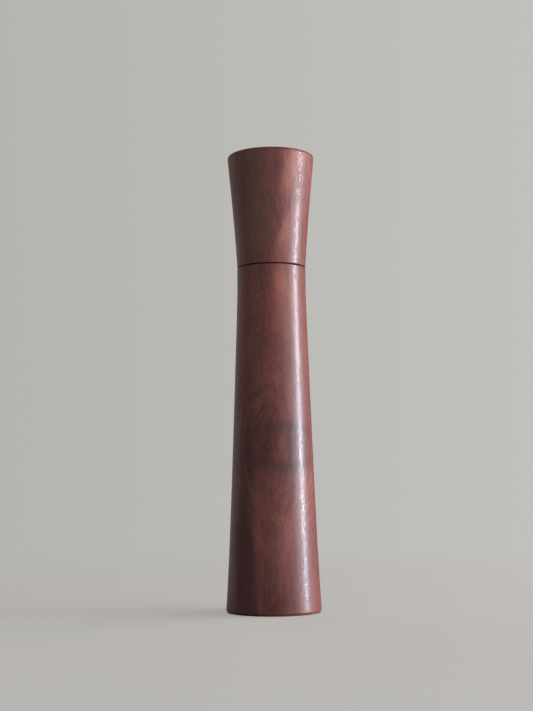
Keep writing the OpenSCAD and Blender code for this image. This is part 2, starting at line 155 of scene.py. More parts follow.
class Graph:
    """The node graph of a material or of the world."""

    def __init__(self, owner: bpy.types.Material | bpy.types.World) -> None:
        """Turns the owner's nodes on and clears them."""
        owner.use_nodes = True
        self.owner = owner
        self.tree = owner.node_tree
        self.tree.nodes.clear()

    @classmethod
    def of_material(cls, name: str) -> "Graph":
        """Starts the graph of a new material of that name."""
        return cls(bpy.data.materials.new(name))

    def add(self, kind: str, settings: dict | None = None,
            sockets: dict | None = None) -> bpy.types.Node:
        """Adds any node.

        Args:
            kind: the node's type.
            settings: attributes set first; "stops" holds a ramp's (place, colour) pairs.
            sockets: a number, tuple, Value or socket for each input's name or index.

        Returns:
            The node.
        """
        node = self.tree.nodes.new(kind)
        for key, setting in (settings or {}).items():
            if key == "stops":
                self._set_stops(node.color_ramp, setting)
            else:
                setattr(node, key, setting)
        for key, given in (sockets or {}).items():
            if isinstance(given, Value):
                self.tree.links.new(given.socket, node.inputs[key])
            elif isinstance(given, bpy.types.NodeSocket):
                self.tree.links.new(given, node.inputs[key])
            else:
                node.inputs[key].default_value = given
        return node

    @staticmethod
    def _set_stops(ramp: bpy.types.ColorRamp, stops: list[tuple[float, Colour]]) -> None:
        """Fills a colour ramp.

        Args:
            ramp: the ramp.
            stops: its (place, colour) pairs.
        """
        while len(ramp.elements) < len(stops):
            ramp.elements.new(1.0)
        for element, (place, colour) in zip(ramp.elements, stops):
            element.position = place
            element.color = (*colour, 1.0)

    def millimetres(self) -> bpy.types.NodeSocket:
        """Object coordinates in millimetres."""
        place = self.add("ShaderNodeTexCoord").outputs["Object"]
        sockets = {0: place, "Scale": 1 / MM}
        return self.add("ShaderNodeVectorMath", {"operation": "SCALE"}, sockets).outputs[0]

    def split(self, vector: bpy.types.NodeSocket) -> tuple[Value, Value, Value]:
        """The three parts of a vector."""
        parts = self.add("ShaderNodeSeparateXYZ", sockets={0: vector}).outputs
        return Value(self, parts[0]), Value(self, parts[1]), Value(self, parts[2])

    def join(self, x: Value | float, y: Value | float, z: Value | float) -> bpy.types.NodeSocket:
        """A vector of three parts."""
        return self.add("ShaderNodeCombineXYZ", sockets={0: x, 1: y, 2: z}).outputs[0]

    def noise(self, vector: bpy.types.NodeSocket, stretch: Colour, detail: float = 2.0,
              roughness: float = 0.5, shift: float = 0.0) -> Value:
        """Smooth noise from 0 to 1 about 0.5.

        Args:
            vector: where it is read.
            stretch: waves per millimetre along each axis.
            detail: octaves added.
            roughness: strength of the finer octaves.
            shift: moves the pattern, so that two noises differ.

        Returns:
            The noise.
        """
        moved = (shift, shift * 0.7, shift * 1.3)
        place = self.add("ShaderNodeMapping", sockets={
            "Vector": vector, "Location": moved, "Scale": stretch}).outputs[0]
        node = self.add("ShaderNodeTexNoise", {"noise_dimensions": "3D"}, {
            "Vector": place, "Scale": 1.0, "Detail": detail, "Roughness": roughness})
        return Value(self, node.outputs[0])

    def noise_along(self, value: Value, detail: float = 2.0, roughness: float = 0.5) -> Value:
        """Smooth noise from 0 to 1 along one value.

        Args:
            value: where it is read, one wave to a unit.
            detail: octaves added.
            roughness: strength of the finer octaves.

        Returns:
            The noise.
        """
        node = self.add("ShaderNodeTexNoise", {"noise_dimensions": "1D"}, {
            "W": value, "Scale": 1.0, "Detail": detail, "Roughness": roughness})
        return Value(self, node.outputs[0])

    def mix(self, first: Colour | bpy.types.NodeSocket, second: Colour | bpy.types.NodeSocket,
            share: Value | float, blend: str = "MIX") -> bpy.types.NodeSocket:
        """Blends two colours.

        Args:
            first: the colour where the share is 0.
            second: the colour where it is 1.
            share: how much of the second.
            blend: the Mix node's blend type.

        Returns:
            The mixed colour.
        """
        first, second = ((*c, 1.0) if isinstance(c, tuple) else c for c in (first, second))
        settings = {"data_type": "RGBA", "blend_type": blend, "clamp_factor": True}
        node = self.add("ShaderNodeMix", settings, {0: share, 6: first, 7: second})
        return node.outputs[2]

    def ramp(self, value: Value, stops: list[tuple[float, Colour]]) -> bpy.types.NodeSocket:
        """A colour ramp read at a value."""
        return self.add("ShaderNodeValToRGB", {"stops": stops}, {0: value}).outputs[0]

    def bump(self, height: Value, depth: float, strength: float = 1.0) -> bpy.types.NodeSocket:
        """A normal bent by a height.

        Args:
            height: from 0 to 1.
            depth: what a height of 1 stands for, in metres.
            strength: how much of the bend is kept.

        Returns:
            The normal.
        """
        return self.add("ShaderNodeBump", sockets={
            "Height": height, "Distance": depth, "Strength": strength}).outputs[0]

    def finish(self, sockets: dict) -> bpy.types.Material:
        """Ends the graph in a Principled BSDF with these sockets, and returns the material."""
        shader = self.add("ShaderNodeBsdfPrincipled", sockets=sockets)
        self.add("ShaderNodeOutputMaterial", sockets={0: shader.outputs[0]})
        return self.owner


# Finishes ---------------------------------------------------------------------------------------


class Slot(Enum):
    """The record's material slots."""

    WOOD = "turned_wood"
    BLACK = "black_plastic"
    GREY = "grey_plastic"
    CERAMIC = "ceramic"
    ALUMINIUM = "shaft_aluminium"
    SPRING = "spring_steel"
    PLATED = "plated_steel"
    BRONZE = "bush_bronze"


@dataclass(frozen=True)
class Place:
    """The painted point of the wood in millimetres, and what is often asked about it."""

    vector: bpy.types.NodeSocket
    x: Value
    y: Value
    z: Value
    front: Value
    radius: Value
    eye_x: Value
    eye_z: Value


@dataclass(frozen=True)
class Grain:
    """The wood's noises: slow wanderings of its sheets, then streaks, fibres and pores."""

    slow: Value
    sway: Value
    wisp: Value
    streak: Value
    fibre: Value
    fine: Value
    glint: Value
    pores: Value
    blotch: Value


@dataclass(frozen=True)
class Mark:
    """A soft cloud in the wood's figure or of painted shade, in millimetres; a negative lift is
    dark.
    """

    x: float
    z: float
    width: float
    height: float
    lift: float
    lean: float = 0.0

    def cloud(self, x: Value, z: Value) -> Value:
        """The cloud's lift at each place.

        Formula: the lift times exp(-(across / width)^2 - (up / height)^2), where the middle of
        across moves by the lean for each step up.

        Args:
            x: the coordinate across the cloud.
            z: the one up it.

        Returns:
            The lift.
        """
        up = z - self.z
        across = x - self.x - up * self.lean
        return ((across / self.width).squared() + (up / self.height).squared()).bell() * self.lift


@dataclass(frozen=True)
class FiguredWood:
    """Dark red-brown figured hardwood with a satin polish outside and bare bores inside.

    Growth rings are sheets round a pith that wanders behind the mill, so that the flare cuts
    them into arches; fibres run up the wood and flow round one dark eye low on the front.
    Lengths are in millimetres, apart from the relief's depth in metres, and a span says where an
    edge starts and where it is full.
    """

    deep: Colour = (0.118, 0.0425, 0.0385)
    middle: Colour = (0.243, 0.0885, 0.0785)
    warm: Colour = (0.390, 0.1380, 0.1120)
    dusk: Colour = (0.085, 0.0480, 0.0520)
    dull: Colour = (0.260, 0.1400, 0.1150)
    bare: Colour = (0.300, 0.135, 0.100)
    fibre_shade: Colour = (0.42, 0.34, 0.36)
    pith: tuple[float, float] = (5.5, 46.0)
    ring_width: float = 2.6
    line_share: float = 0.22
    eye: tuple[float, float] = (6.0, 108.0)
    eye_size: tuple[float, float] = (22.0, 13.0)
    eye_gap: float = 8.0
    eye_lift: float = 0.16
    eye_blunt: float = 14.0
    eye_reach: float = 26.0
    front_side: Span = (2.0, -13.0)
    dull_side: Span = (7.0, -5.0)
    dull_rise: Span = (222.0, 245.0)
    calm_neck: Span = (190.0, 240.0)
    calm_foot: Span = (92.0, 70.0)
    calm_middle: float = 172.0
    calm_reach: float = 30.0
    end_face: Span = (304.0, 304.8)
    # Where the painted shade along the crown's top rim starts and is full, up the rim and out along
    # it
    shaded_rim_rise: Span = (302.6, 304.0)
    shaded_rim_reach: Span = (26.6, 28.2)
    feather_side: Span = (5.0, 21.0)
    polished_radius: Span = (18.5, 20.0)
    polished_foot: Span = (26.0, 12.0)
    foot_widening: float = 8.5
    polished_top: Span = (270.0, 280.0)
    worn_rise: Span = (228.0, 300.0)
    relief_depth: float = 0.11 * MM
    middle_tone: float = 0.46
    feather: Mark = Mark(-9.0, 74.0, 9.0, 24.0, 2.6)
    chevrons: Mark = Mark(6.0, 66.0, 11.0, 13.0, 1.0)
    calm_eye: Mark = Mark(6.0, 108.0, 17.0, 36.0, 0.7)
    veil: Mark = Mark(14.0, 108.0, 5.0, 15.0, 0.42)
    marks: tuple[Mark, ...] = (
        Mark(13.0, 290.0, 4.4, 17.0, 0.72, 0.26),
        Mark(4.5, 292.0, 3.2, 11.0, -0.20, 0.10),
        Mark(8.5, 249.0, 4.2, 14.0, 0.64, 0.32),
        Mark(3.0, 246.0, 2.2, 12.0, -0.14, 0.32),
        Mark(5.5, 272.0, 3.5, 6.0, -0.10, 0.20),
        Mark(-10.0, 268.0, 10.0, 42.0, -0.20, 0.05),
        Mark(5.5, 217.0, 2.8, 8.5, 0.76),
        Mark(2.0, 180.0, 6.0, 30.0, 0.08, 0.06),
        Mark(3.0, 203.0, 9.0, 20.0, 0.22),
        Mark(4.0, 141.0, 16.0, 8.5, -0.16),
        Mark(-1.0, 110.0, 20.0, 17.0, -0.34),
        Mark(6.0, 109.0, 3.0, 7.0, 0.28),
        Mark(-9.5, 42.0, 3.0, 46.0, 0.30, -0.03),
        # Painted shade: the lower left of the front, away from the window, is darkened
        Mark(-19.0, 34.0, 7.5, 54.0, -0.60),
        Mark(8.0, 52.0, 4.0, 14.0, 0.20),
        # Painted shade: the front is darker towards the foot
        Mark(-6.0, 4.0, 17.0, 36.0, -0.26),
    )

    def paint(self) -> bpy.types.Material:
        """Returns the wood's material."""
        g = Graph.of_material("figured_wood")
        p = self._place(g)
        n = self._grain(g, p)

        # Polished outside: beyond a radius that widens at the foot, and all of the crown's top
        inside = p.radius - p.z.ease(*self.polished_foot) * self.foot_widening
        polish = inside.ease(*self.polished_radius).larger(p.z.ease(*self.polished_top))
        colour = self._colour(g, p, n)
        colour = g.mix(g.mix(colour, self.bare, 0.55), colour, polish)

        # The crown's end is sanded coarser than the body
        worn = p.z.ease(*self.worn_rise)
        rough = 0.74 - polish * 0.37 + (n.fibre - 0.5) * 0.15 + worn * 0.05 + n.pores * 0.1
        coat = polish * (0.34 - n.pores * 0.5 + (n.glint - 0.5) * 5.0 - worn * 0.33)
        relief = n.fibre * 0.25 + n.fine * 0.4 + n.glint * (worn * 0.5 + 0.6) * 0.7 - n.pores * 0.35
        return g.finish({
            "Base Color": colour,
            "Roughness": rough,
            "Coat Weight": coat,
            "Coat Roughness": 0.24,
            "Specular IOR Level": 0.42,
            "Normal": g.bump(relief, self.relief_depth, 0.8),
        })

    def _place(self, g: Graph) -> Place:
        """The painted point."""
        vector = g.millimetres()
        x, y, z = g.split(vector)
        return Place(vector, x, y, z, front=y.ease(*self.front_side),
                     radius=(x.squared() + y.squared()).root(),
                     eye_x=x - self.eye[0], eye_z=z - self.eye[1])

    def _grain(self, g: Graph, p: Place) -> Grain:
        """The noises at a place, each in waves per millimetre.

        Args:
            g: the material's graph.
            p: the place.

        Returns:
            The noises; the fibres' cross coordinate opens round the eye and leans slowly.
        """
        slow = g.noise(p.vector, (0.030, 0.030, 0.016), detail=1.0, shift=3.1) - 0.5
        sway = g.noise(p.vector, (0.022, 0.022, 0.020), detail=1.0, shift=11.7) - 0.5
        wisp = g.noise(p.vector, (0.16, 0.16, 0.045), detail=2.0, shift=41.0) - 0.5
        opening = 1.0 + (p.eye_z / self.eye_reach).squared().bell() * 0.55
        flow = g.join(p.eye_x / opening + sway * 16.0 + slow * 6.0, p.y, p.z)
        return Grain(
            slow, sway, wisp,
            streak=g.noise(flow, (0.34, 0.34, 0.012), detail=2.0, roughness=0.5, shift=23.0),
            fibre=g.noise(flow, (0.95, 0.95, 0.045), detail=3.0, roughness=0.6),
            fine=g.noise(flow, (1.5, 1.5, 0.13), detail=3.0, roughness=0.7, shift=5.0),
            glint=g.noise(flow, (1.20, 1.20, 0.85), detail=2.0, roughness=0.75, shift=37.0),
            pores=g.noise(flow, (2.2, 2.2, 0.30), detail=0.0, shift=17.0).ease(0.62, 0.76),
            blotch=g.noise(flow, (0.060, 0.060, 0.022), detail=2.0, shift=29.0))

    def _rings(self, g: Graph, p: Place, n: Grain) -> tuple[Value, Value]:
        """Broad bands and fine lines of the growth rings.

        Formula: the ring number is the distance from the wandering pith, less the fall of the
        sheets away from the eye, over the ring's width.
        """
        fall = (p.eye_z.squared() + self.eye_blunt ** 2).root() * self.eye_lift
        across = p.x - self.pith[0] + n.sway * 9.0
        ring = ((across.squared() + (p.y - self.pith[1]).squared()).root()
                + n.slow * 7.0 + n.wisp * 2.4 - fall)
        bands = g.noise_along(ring / self.ring_width, detail=1.0) - 0.5
        lines = g.noise_along(ring / (self.ring_width * self.line_share), detail=1.0) - 0.5
        return bands, lines

    def _tone(self, g: Graph, p: Place, n: Grain) -> Value:
        """How light the figure is at a place, from 0 to 1.

        Args:
            g: the material's graph.
            p: the place.
            n: its noises.

        Returns:
            The sum of rings, fibres, the feathered patch where the fibres lean back low on the
            right, the chevrons under the eye where they meet again, and the clouds, two of which
            are painted shade low on the left and at the foot; less a painted shade along the
            crown's top rim.
        """
        bands, lines = self._rings(g, p, n)
        plain = ((1.0 - self.calm_eye.cloud(p.x, p.z)) * (1.0 - p.z.ease(*self.calm_neck) * 0.60)
                 * (1.0 - p.z.ease(*self.calm_foot) * 0.45))
        calm = ((p.z - self.calm_middle) / self.calm_reach).squared().bell() * p.front
        plain = plain * (1.0 - calm * 0.45) + p.z.ease(*self.end_face) * 1.1

        back = p.z * 0.36 - p.y * 0.62 + n.slow * 4.0 + n.wisp * 3.0
        lean = g.noise_along(back, detail=1.5) - 0.5
        feather = self.feather.cloud(p.y, p.z) * p.x.ease(*self.feather_side)
        feather = feather * (n.streak * 1.6 + 0.2)
        side = (p.eye_x.squared() + 2.0).root()
        chevron = g.noise_along(p.z * 0.36 - side * 0.48 + n.wisp * 1.5, detail=1.5) - 0.5
        meet = self.chevrons.cloud(p.x, p.z) * p.front
        clouds = sum(mark.cloud(p.x, p.z) for mark in self.marks) * p.front
        # Painted shade: the crown's rounded top rim is darkened, as if it faced an unlit ceiling
        painted_rim_shade = p.z.ease(*self.shaded_rim_rise) * p.radius.ease(*self.shaded_rim_reach)
        return (bands * 0.70 * plain + lines * 0.40 + (n.fibre - 0.5) * 0.48
                + (n.streak - 0.5) * 0.45 + (n.blotch - 0.5) * 0.7 + lean * feather
                + chevron * meet + clouds - painted_rim_shade * 0.40 + self.middle_tone)

    def _colour(self, g: Graph, p: Place, n: Grain) -> bpy.types.NodeSocket:
        """Colour of the polished wood: its figure, a duller crown, the eye and the fibres.

        Args:
            g: the material's graph.
            p: the place.
            n: its noises.

        Returns:
            The colour.
        """
        # The eye is a dark ring, open at its sides, round a redder heart
        across, up = p.eye_x / self.eye_size[0], p.eye_z / self.eye_size[1]
        rim = (across.squared() + up.squared()).root()
        ends = (p.eye_z / self.eye_gap).squared().bell()
        ring = ((rim - 1.0 + n.slow * 0.4 + n.wisp * 0.5) / 0.33).squared().bell() * (1.0 - ends)
        shade = (ring * 0.62 + self.veil.cloud(p.x, p.z)) * p.front
        stops = [(0.0, self.deep), (0.5, self.middle), (1.0, self.warm)]
        colour = g.ramp(self._tone(g, p, n), stops)
        dulled = p.x.ease(*self.dull_side) * p.z.ease(*self.dull_rise) * 0.45
        colour = g.mix(g.mix(colour, self.dull, dulled), self.dusk, shade)
        fibres = (0.5 - n.fine) * 1.7 + n.pores * 0.4 + 0.05
        return g.mix(colour, self.fibre_shade, fibres, "MULTIPLY")


@dataclass(frozen=True)
class MouldedPlastic:
    """Moulded plastic with a fine eroded texture and faint flow marks."""

    name: str
    base: Colour
    roughness: float = 0.42

    def paint(self) -> bpy.types.Material:
        """Returns the plastic's material."""
        g = Graph.of_material(self.name)
        place = g.millimetres()
        cloud = g.noise(place, (0.18, 0.18, 0.10), detail=3.0)
        grit = g.noise(place, (5.0, 5.0, 5.0), detail=1.0, shift=2.0)
        light = tuple(c * 1.7 + 0.004 for c in self.base)
        return g.finish({
            "Base Color": g.mix(self.base, light, cloud.ease(0.35, 0.75)),
            "Roughness": (cloud - 0.5) * 0.25 + (grit - 0.5) * 0.15 + self.roughness,
            "Normal": g.bump(grit, 0.00002, 0.6),
        })


@dataclass(frozen=True)
class SinteredCeramic:
    """White sintered ceramic: faint grain, slightly creamy in its pits."""

    white: Colour = (0.80, 0.78, 0.73)
    cream: Colour = (0.62, 0.57, 0.48)

    def paint(self) -> bpy.types.Material:
        """Returns the ceramic's material."""
        g = Graph.of_material("sintered_ceramic")
        place = g.millimetres()
        grain = g.noise(place, (2.4, 2.4, 2.4), detail=3.0, roughness=0.6)
        cloud = g.noise(place, (0.12, 0.12, 0.2), detail=2.0, shift=8.0)
        pits = grain.ease(0.55, 0.8) * 0.25 + cloud.ease(0.5, 0.8) * 0.3
        return g.finish({
            "Base Color": g.mix(self.white, self.cream, pits),
            "Roughness": 0.42 + grain * 0.25,
            "Normal": g.bump(grain, 0.00001, 0.5),
        })


@dataclass(frozen=True)
class DrawnMetal:
    """Bare metal with fine lines along one direction and clouded roughness."""

    name: str
    base: Colour
    shade: Colour
    lines: Colour = (4.0, 4.0, 0.06)
    roughness: float = 0.26

    def paint(self) -> bpy.types.Material:
        """Returns the metal's material."""
        g = Graph.of_material(self.name)
        place = g.millimetres()
        line = g.noise(place, self.lines, detail=2.0, roughness=0.6)
        cloud = g.noise(place, (0.2, 0.2, 0.07), detail=3.0, shift=4.0)
        return g.finish({
            "Base Color": g.mix(self.base, self.shade, cloud.ease(0.4, 0.8) * 0.7),
            "Metallic": 1.0,
            "Roughness": self.roughness + (line - 0.5) * 0.22 + (cloud - 0.5) * 0.16,
            "Normal": g.bump(line, 0.00001, 0.5),
        })


# Surfaces ---------------------------------------------------------------------------------------


@dataclass
class Surface:
    """Points with the quads and triangles between them."""

    points: Array
    quads: Array
    triangles: Array = field(default_factory=lambda: np.zeros((0, 3), int))

    def make(self, name: str, slot: Slot, material: bpy.types.Material) -> bpy.types.Object:
        """Makes the mesh object.

        Args:
            name: the piece's name.
            slot: not used.
            material: its material.

        Returns:
            The object, at the origin, with smooth faces.
        """
        mesh = bpy.data.meshes.new(name)
        mesh.from_pydata(self.points, [], [*self.quads.tolist(), *self.triangles.tolist()])
        mesh.validate()
        mesh.shade_smooth()
        mesh.materials.append(material)
        piece = bpy.data.objects.new(name, mesh)
        bpy.context.scene.collection.objects.link(piece)
        log.info("%s: %d points, %d faces", name, len(mesh.vertices), len(mesh.polygons))
        return piece


def unit(vectors: Array) -> Array:
    """Vectors along the last axis, each divided by its length."""
    return vectors / np.maximum(np.linalg.norm(vectors, axis=-1, keepdims=True), 1e-12)


def eased(corners: Array, steps: int = 4, hold: float = 0.6) -> Array:
    """Rounds an outline's corners.

    Formula: at a corner with directions u and v to its neighbours, the arc's centre lies along
    u + v, and its points are the spherical blend of the directions from the centre to the two
    tangent points. A point before and after each arc, at hold times its tangent length, keeps
    the flats beside it flat.

    Args:
        corners: rows of r, z and the corner's radius, going round the material with it on the
            left; a radius of 0 leaves the corner as it is.
        steps: stretches in each arc.
        hold: how far beyond the arc the holding points are.

    Returns:
        The outline as rows of r and z.
    """
    place, radius = corners[:, :2], corners[:, 2:]
    to_last = np.roll(place, 1, axis=0) - place
    to_next = np.roll(place, -1, axis=0) - place
    u, v = unit(to_last), unit(to_next)
    half = np.arccos(np.clip((u * v).sum(1, keepdims=True), -1, 1)) / 2
    half = np.maximum(half, 0.02)
    reach = radius / np.tan(half)
    centre = place + unit(u + v) * radius / np.sin(half)
    first, last = unit(place + u * reach - centre), unit(place + v * reach - centre)
    turn = (math.pi - 2 * half)[:, None]
    share = np.linspace(0, 1, steps + 1)[None, :, None]
    arc = (np.sin((1 - share) * turn) * first[:, None] + np.sin(share * turn) * last[:, None])
    arc = centre[:, None] + radius[:, None] * arc / np.maximum(np.sin(turn), 1e-9)
    held = (1 + hold) * reach
    rows = np.concatenate([(place + u * held)[:, None], arc, (place + v * held)[:, None]], axis=1)
    round_one = radius[:, 0] > 0
    return np.concatenate([rows[i] if round_one[i] else place[i:i + 1] for i in range(len(place))])


def revolve(outline: Array, segments: int, ring: bool) -> Surface:
    """Turns an outline about the Z axis.

    Formula: point (i, j) is (r_i cos t_j, r_i sin t_j, z_i) with t_j = 2 pi j / segments.

    Args:
        outline: rows of r and z, with the material on the left; its ends are on the axis
            unless it is a ring.
        segments: faces round the axis.
        ring: True for a closed outline that doesn't touch the axis.

    Returns:
        The closed surface.
    """
    body = outline if ring else outline[1:-1]
    angle = np.arange(segments) * (2 * math.pi / segments)
    grid = np.repeat(body[:, None, :], segments, axis=1)
    radius, height = grid[..., 0], grid[..., 1]
    points = np.stack([radius * np.cos(angle), radius * np.sin(angle), height], axis=-1)
    rows = len(body)
    index = np.arange(rows * segments).reshape(rows, segments)
    low = index if ring else index[:-1]
    high = np.roll(index, -1, axis=0) if ring else index[1:]
    quads = np.stack([low, np.roll(low, -1, axis=1), np.roll(high, -1, axis=1), high], axis=-1)
    quads = quads.reshape(-1, 4)
    points = points.reshape(-1, 3)
    if ring:
        return Surface(points, quads)
    poles = np.array([[0, 0, outline[0, 1]], [0, 0, outline[-1, 1]]])
    start, end = len(points), len(points) + 1
    first, last = index[0], index[-1]
    fans = np.concatenate([
        np.stack([np.full(segments, start), np.roll(first, -1), first], axis=-1),
        np.stack([np.full(segments, end), last, np.roll(last, -1)], axis=-1),
    ])
    return Surface(np.concatenate([points, poles]), quads, fans)


def tube(centre: Array, radius: float, sides: int) -> Surface:
    """A round wire along a path about the Z axis, closed at both ends.

    Formula: each ring lies in the plane of the path's outward radial direction n and the
    vector b = t x n, where t is the path's direction: centre + radius (n cos s + b sin s).

    Args:
        centre: the path's points.
        radius: the wire's radius.
        sides: faces round the wire.

    Returns:
        The closed surface.
    """
    along = unit(np.gradient(centre, axis=0))
    radial = centre * np.array([1.0, 1.0, 0.0])
    outward = unit(radial - (radial * along).sum(1, keepdims=True) * along)
    other = np.cross(along, outward)
    around = np.arange(sides) * (2 * math.pi / sides)
    cosine, sine = np.cos(around)[None, :, None], np.sin(around)[None, :, None]
    points = centre[:, None] + radius * (outward[:, None] * cosine + other[:, None] * sine)
    index = np.arange(len(centre) * sides).reshape(len(centre), sides)
    low, high = index[:-1], index[1:]
    quads = np.stack([low, high, np.roll(high, -1, axis=1), np.roll(low, -1, axis=1)], axis=-1)
    quads = quads.reshape(-1, 4)[:, ::-1]
    ends = len(centre) * sides + np.arange(2)
    first, last = index[0], index[-1]
    fans = np.concatenate([
        np.stack([np.full(sides, ends[0]), np.roll(first, -1), first], axis=-1),
        np.stack([np.full(sides, ends[1]), last, np.roll(last, -1)], axis=-1),
    ])
    return Surface(np.concatenate([points.reshape(-1, 3), centre[[0, -1]]]), quads, fans)


def path(*corners: tuple[float, float, float]) -> Array:
    """Outline corners given as r, z and radius."""
    return np.array(corners, float)


# Sub-assemblies ---------------------------------------------------------------------------------


@dataclass
class TurnedWood:
    """The wooden body and crown, turned from one blank.

    The heights of the parts they hold come from the CAD nodes, so only the wood's own sizes are
    fields.
    """

    foot_radius: float = 31.5 * MM
    neck_radius: float = 23.0 * MM
    crown_radius: float = 29.4 * MM
    bell: float = 1.0 * MM
    flare_power: float = 1.07
    bell_power: float = 7.0
    crown_power: float = 1.21
    neck_straight: float = 16.0 * MM
    chamfer_width: float = 0.9 * MM
    chamfer_height: float = 1.7 * MM
    rim_round: float = 1.3 * MM
    seam_ease: float = 0.35 * MM
    small_round: float = 0.25 * MM
    chamber_radius: float = 15.0 * MM
    bore_radius: float = 19.0 * MM
    recess_radius: float = 25.0 * MM
    recess_depth: float = 12.0 * MM
    tenon_clear: float = 0.25 * MM
    insert_radius: float = 11.0 * MM
    insert_room: float = 2.0 * MM
    housing_room: float = 1.0 * MM
    seam_gap: float = 0.7 * MM
    rim_share: float = 2.2
    rows: int = 90
    segments: int = 256

    def body_radius(self, z: Array, waist: float) -> Array:
        """Radius of the body: an even flare below the waist and a bell at the foot.

        Args:
            z: heights.
            waist: height at which the flare starts.

        Returns:
            neck + even u^p + bell u^q, where u is the share of the way from waist to foot.
        """
        u = np.clip((waist - z) / waist, 0, 1)
        even = self.foot_radius - self.bell - self.neck_radius
        return self.neck_radius + even * u ** self.flare_power + self.bell * u ** self.bell_power

    def body(self, material: bpy.types.Material) -> bpy.types.Object:
        """Makes the body: flare, seam edge, chamber, mechanism bore and foot recess.

        Args:
            material: the wood.

        Returns:
            The piece, riding the body.
        """
        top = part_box("body")[1].z
        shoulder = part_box("housing")[1].z + self.housing_room
        waist = top - self.neck_straight
        heights = np.linspace(self.chamfer_height, waist, self.rows)[1:]
        side = np.stack([self.body_radius(heights, waist), heights, np.zeros_like(heights)], axis=1)
        foot = float(self.body_radius(np.array([self.chamfer_height]), waist)[0])
        corners = np.concatenate([
            path((foot - self.chamfer_width, 0, self.small_round),
                 (foot, self.chamfer_height, 2 * self.small_round)),
            side,
            path((self.neck_radius, top - self.seam_ease, self.small_round),
                 (self.neck_radius - self.seam_ease, top, self.small_round),
                 (self.chamber_radius, top, self.small_round),
                 (self.chamber_radius, shoulder, 0),
                 (self.bore_radius, shoulder, 0),
                 (self.bore_radius, self.recess_depth, self.small_round),
                 (self.recess_radius, self.recess_depth, 0),
                 (self.recess_radius, 0, 2 * self.small_round)),
        ])
        surface = revolve(eased(corners), self.segments, ring=True)
        piece = surface.make("turned_body", Slot.WOOD, material)
        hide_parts("body")
        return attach(piece, "body")

    def crown(self, material: bpy.types.Material) -> bpy.types.Object:
        """Makes the crown: tenon, bore, seam edge, flare, rounded rim and flat top.

        Formula: the radius grows from neck to crown by a power of the share of the way from the
        seam to the top.

        Args:
            material: the wood.

        Returns:
            The piece, riding the crown.
        """
        low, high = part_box("crown")
        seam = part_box("body")[1].z + self.seam_gap
        bore_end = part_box("drive_insert")[1].z + self.insert_room
        tenon = self.chamber_radius - self.tenon_clear
        start, end = seam + self.seam_ease, high.z - self.rim_share * self.rim_round
        heights = np.linspace(start, end, self.rows // 2)[1:]
        share = (heights - seam) / (high.z - seam)
        flare = self.crown_radius - self.neck_radius
        radius = self.neck_radius + flare * share ** self.crown_power
        side = np.stack([radius, heights, np.zeros_like(heights)], axis=1)
        corners = np.concatenate([
            path((0, bore_end, 0),
                 (self.insert_radius, bore_end, 0),
                 (self.insert_radius, low.z, self.small_round),
                 (tenon, low.z, 2 * self.small_round),
                 (tenon, seam, self.small_round),
                 (self.neck_radius - self.seam_ease, seam, self.small_round),
                 (self.neck_radius, start, self.small_round)),
            side,
            path((high.x, high.z, self.rim_round), (0, high.z, 0)),
        ])
        surface = revolve(eased(corners), self.segments, ring=False)
        piece = surface.make("turned_crown", Slot.WOOD, material)
        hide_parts("crown")
        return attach(piece, "crown")


@dataclass
class BurrSpring:
    """The coil spring that presses the cone burr down on its knob."""

    wire_radius: float = 0.45 * MM
    coil_radius: float = 5.78 * MM
    closed_turns: float = 0.5
    working_turns: float = 4.0
    stops: int = 360
    sides: int = 12

    def wind(self, material: bpy.types.Material) -> bpy.types.Object:
        """Makes the spring.

        Formula: a helix of five turns; its height rises by a wire's thickness a turn over the
        closed half turn at each end, and evenly between.

        Args:
            material: the spring's metal.

        Returns:
            The piece, blended from the cone to the spindle.
        """
        low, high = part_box("burr_spring")
        closed, wire, mean = self.closed_turns, self.wire_radius, self.coil_radius
        turns = self.working_turns + 2 * closed
        turn = np.linspace(0, turns, self.stops)
        rise = high.z - low.z - 2 * wire
        end_rise = 2 * wire * closed
        height = np.interp(turn, [0, closed, turns - closed, turns],
                           [0, end_rise, rise - end_rise, rise])
        angle = 2 * math.pi * turn
        centre = [mean * np.cos(angle), mean * np.sin(angle), low.z + wire + height]
        coil = tube(np.stack(centre, axis=1), wire, self.sides)
        piece = coil.make("burr_spring_coil", Slot.SPRING, material)
        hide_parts("burr_spring")
        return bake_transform(piece)


# Stage ------------------------------------------------------------------------------------------


@dataclass(frozen=True)
class Viewpoint:
    """The camera: low down in front of the mill, tipped up and a little off level.

    Lens and sensor are in millimetres, places in metres and turns in degrees.
    """

    lens_mm: float = 63.7
    sensor_mm: float = 36.0
    distance: float = 0.839
    height: float = 0.0818
    side: float = -0.0037
    pitch: float = 5.96
    roll: float = -0.44

    def place(self) -> bpy.types.Object:
        """Makes the camera and hands it to the scene."""
        lens = bpy.data.cameras.new("viewpoint")
        lens.lens = self.lens_mm
        lens.sensor_width = self.sensor_mm
        camera = bpy.data.objects.new("viewpoint", lens)
        place = Matrix.Translation((self.side, -self.distance, self.height))
        tip = Matrix.Rotation(math.radians(90 + self.pitch), 4, "X")
        lean = Matrix.Rotation(math.radians(self.roll), 4, "Z")
        camera.matrix_world = place @ (tip @ lean)
        bpy.context.scene.collection.objects.link(camera)
        bpy.context.scene.camera = camera
        return camera


